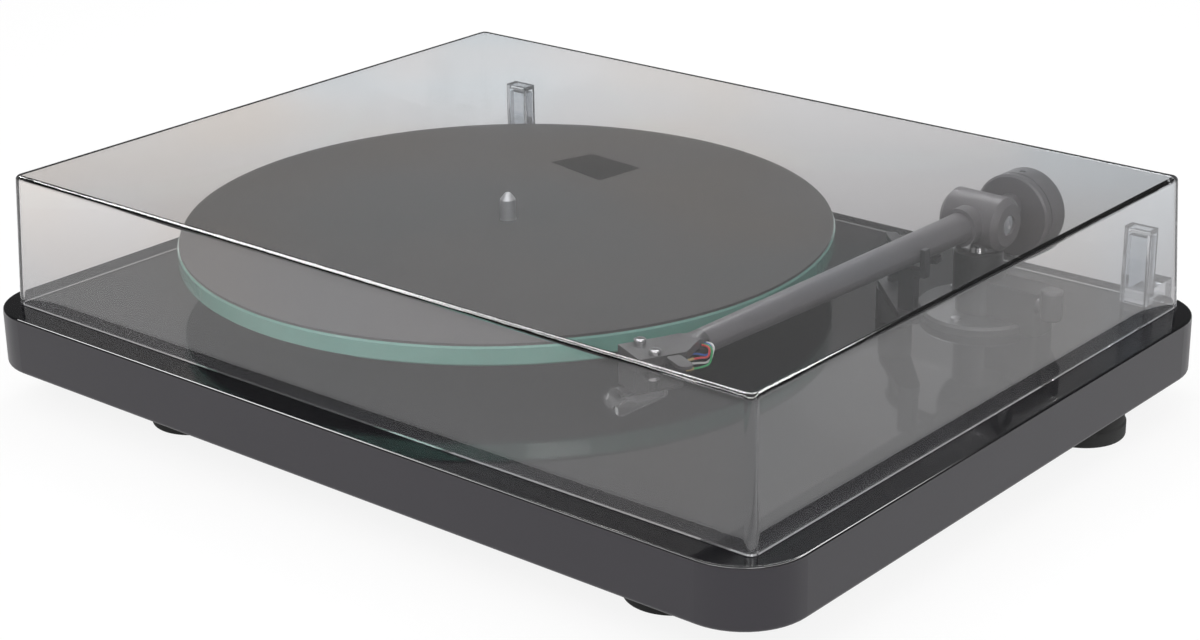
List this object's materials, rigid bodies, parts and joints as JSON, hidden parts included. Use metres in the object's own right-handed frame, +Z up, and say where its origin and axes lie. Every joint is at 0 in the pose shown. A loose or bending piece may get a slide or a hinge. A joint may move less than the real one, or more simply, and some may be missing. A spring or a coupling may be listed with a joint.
{
  "type": "turntable",
  "caption": "Belt-drive turntable with glass platter, straight tonearm with cue lift, thin plinth on round feet and a hinged clear dust cover",
  "frame": {"origin": "on the surface the feet stand on, under the middle of the whole body with its rear hinges", "axes": "+X to the right, +Y to the back with the hinges, +Z up"},
  "size_m": [0.447, 0.361, 0.109],
  "materials": {
    "plinth_paint": "dark grey lacquer on fibreboard, satin sides and a glossy deck",
    "foot_rubber": "matt black rubber",
    "fastener_steel": "zinc-plated steel",
    "bearing_brass": "turned brass",
    "polished_steel": "polished steel",
    "sub_platter_plastic": "moulded black plastic",
    "platter_glass": "polished glass with a green edge",
    "mat_felt": "dark grey felt",
    "motor_steel": "drawn steel can",
    "black_rubber": "black rubber",
    "pulley_aluminium": "turned aluminium",
    "black_plastic": "moulded black plastic",
    "cover_clear": "clear lightly smoked acrylic",
    "guard_clear": "clear moulded plastic",
    "arm_paint": "satin black lacquer",
    "arm_alloy_paint": "satin black lacquer on aluminium",
    "pin_brass": "gold-plated brass",
    "lead_red": "red insulation",
    "lead_green": "green insulation",
    "lead_blue": "blue insulation",
    "lead_white": "white insulation"
  },
  "bodies": {
    "base": {"plinth": "plinth_paint", "foot_front_left": "foot_rubber", "foot_front_right": "foot_rubber", "foot_rear_left": "foot_rubber", "foot_rear_right": "foot_rubber", "foot_screws": "fastener_steel", "main_bearing": "bearing_brass", "main_bearing_nut": "fastener_steel", "thrust_ball": "polished_steel", "motor_body": "motor_steel", "motor_pad": "black_rubber", "motor_cover": "black_plastic", "motor_cover_screws": "fastener_steel", "drive_belt": "black_rubber", "power_jack": "black_plastic", "lead_gland": "black_rubber", "switch_housing": "black_plastic", "hinge_bases": "black_plastic", "hinge_pins": "polished_steel", "hinge_screws": "fastener_steel", "arm_base": "arm_paint", "arm_base_nut": "fastener_steel", "arm_base_screws": "fastener_steel", "swing_bearings": "polished_steel", "lift_post": "black_plastic", "arm_rest": "black_plastic"},
    "lid": {"dust_cover": "cover_clear", "hinge_arm_left": "cover_clear", "hinge_arm_right": "cover_clear"},
    "platter": {"spindle": "polished_steel", "sub_platter": "sub_platter_plastic", "glass_platter": "platter_glass", "platter_mat": "mat_felt"},
    "motor_rotor": {"motor_shaft": "polished_steel", "motor_pulley": "pulley_aluminium"},
    "yoke": {"yoke_post": "polished_steel", "tilt_spindle": "polished_steel"},
    "tonearm": {"bearing_housing": "arm_paint", "tilt_bearings": "polished_steel", "arm_tube": "arm_alloy_paint", "tube_collar": "arm_paint", "headshell": "arm_alloy_paint", "cartridge_body": "black_plastic", "cartridge_bolts": "fastener_steel", "cartridge_nuts": "fastener_steel", "cartridge_pins": "pin_brass", "lead_clips": "pin_brass", "lead_red": "lead_red", "lead_green": "lead_green", "lead_blue": "lead_blue", "lead_white": "lead_white", "stylus_unit": "black_plastic", "rear_stub": "arm_paint"},
    "weight": {"counterweight": "arm_paint", "counterweight_screw": "fastener_steel"},
    "guard": {"stylus_guard": "guard_clear"},
    "lift": {"lift_platform": "black_plastic"},
    "lever": {"cue_lever": "black_plastic"},
    "rocker": {"switch_rocker": "black_plastic"}
  },
  "joints": [
    {"name": "lid_hinge", "type": "hinge", "parent": "base", "child": "lid", "pos_m": [0, 0.1725, 0.036], "axis": [-1, 0, 0], "range_deg": [0, 75]},
    {"name": "platter_spin", "type": "hinge", "parent": "base", "child": "platter", "pos_m": [-0.0542, -0.0018, 0.047], "axis": [0, 0, -1], "continuous": true},
    {"name": "motor_spin", "type": "hinge", "parent": "base", "child": "motor_rotor", "pos_m": [-0.12161, 0.05477, 0.047], "axis": [0, 0, -1], "continuous": true},
    {"name": "arm_swing", "type": "hinge", "parent": "base", "child": "yoke", "pos_m": [0.1448, 0.0885, 0.091], "axis": [0, 0, -1], "range_deg": [0, 51]},
    {"name": "arm_tilt", "type": "hinge", "parent": "yoke", "child": "tonearm", "pos_m": [0.1448, 0.0885, 0.091], "axis": [-0.9999, 0.014, 0], "range_deg": [-0.9, 0.8]},
    {"name": "weight_slide", "type": "slide", "parent": "tonearm", "child": "weight", "axis": [0.014, 0.9998, -0.0175], "range_m": [-0.002, 0.002]},
    {"name": "guard_slide", "type": "slide", "parent": "tonearm", "child": "guard", "axis": [-0.4163, -0.9091, 0.016], "range_m": [0, 0.009]},
    {"name": "lift_rise", "type": "slide", "parent": "base", "child": "lift", "axis": [0, 0, 1], "range_m": [-0.00065, 0.0006]},
    {"name": "cue_lever_turn", "type": "hinge", "parent": "base", "child": "lever", "pos_m": [0.1791, 0.0885, 0.0625], "axis": [-1, 0, 0], "range_deg": [-23, 20.5]},
    {"name": "power_switch", "type": "hinge", "parent": "base", "child": "rocker", "pos_m": [-0.1615, -0.1565, 0.0225], "axis": [-1, 0, 0], "range_deg": [0, 12]}
  ],
  "couplings": [
    {"joint": "motor_spin", "follows": "platter_spin", "ratio": 7.5},
    {"joint": "lift_rise", "follows": "arm_tilt", "m_per_rad": 0.0385},
    {"joint": "cue_lever_turn", "follows": "arm_tilt", "ratio": 25}
  ]
}
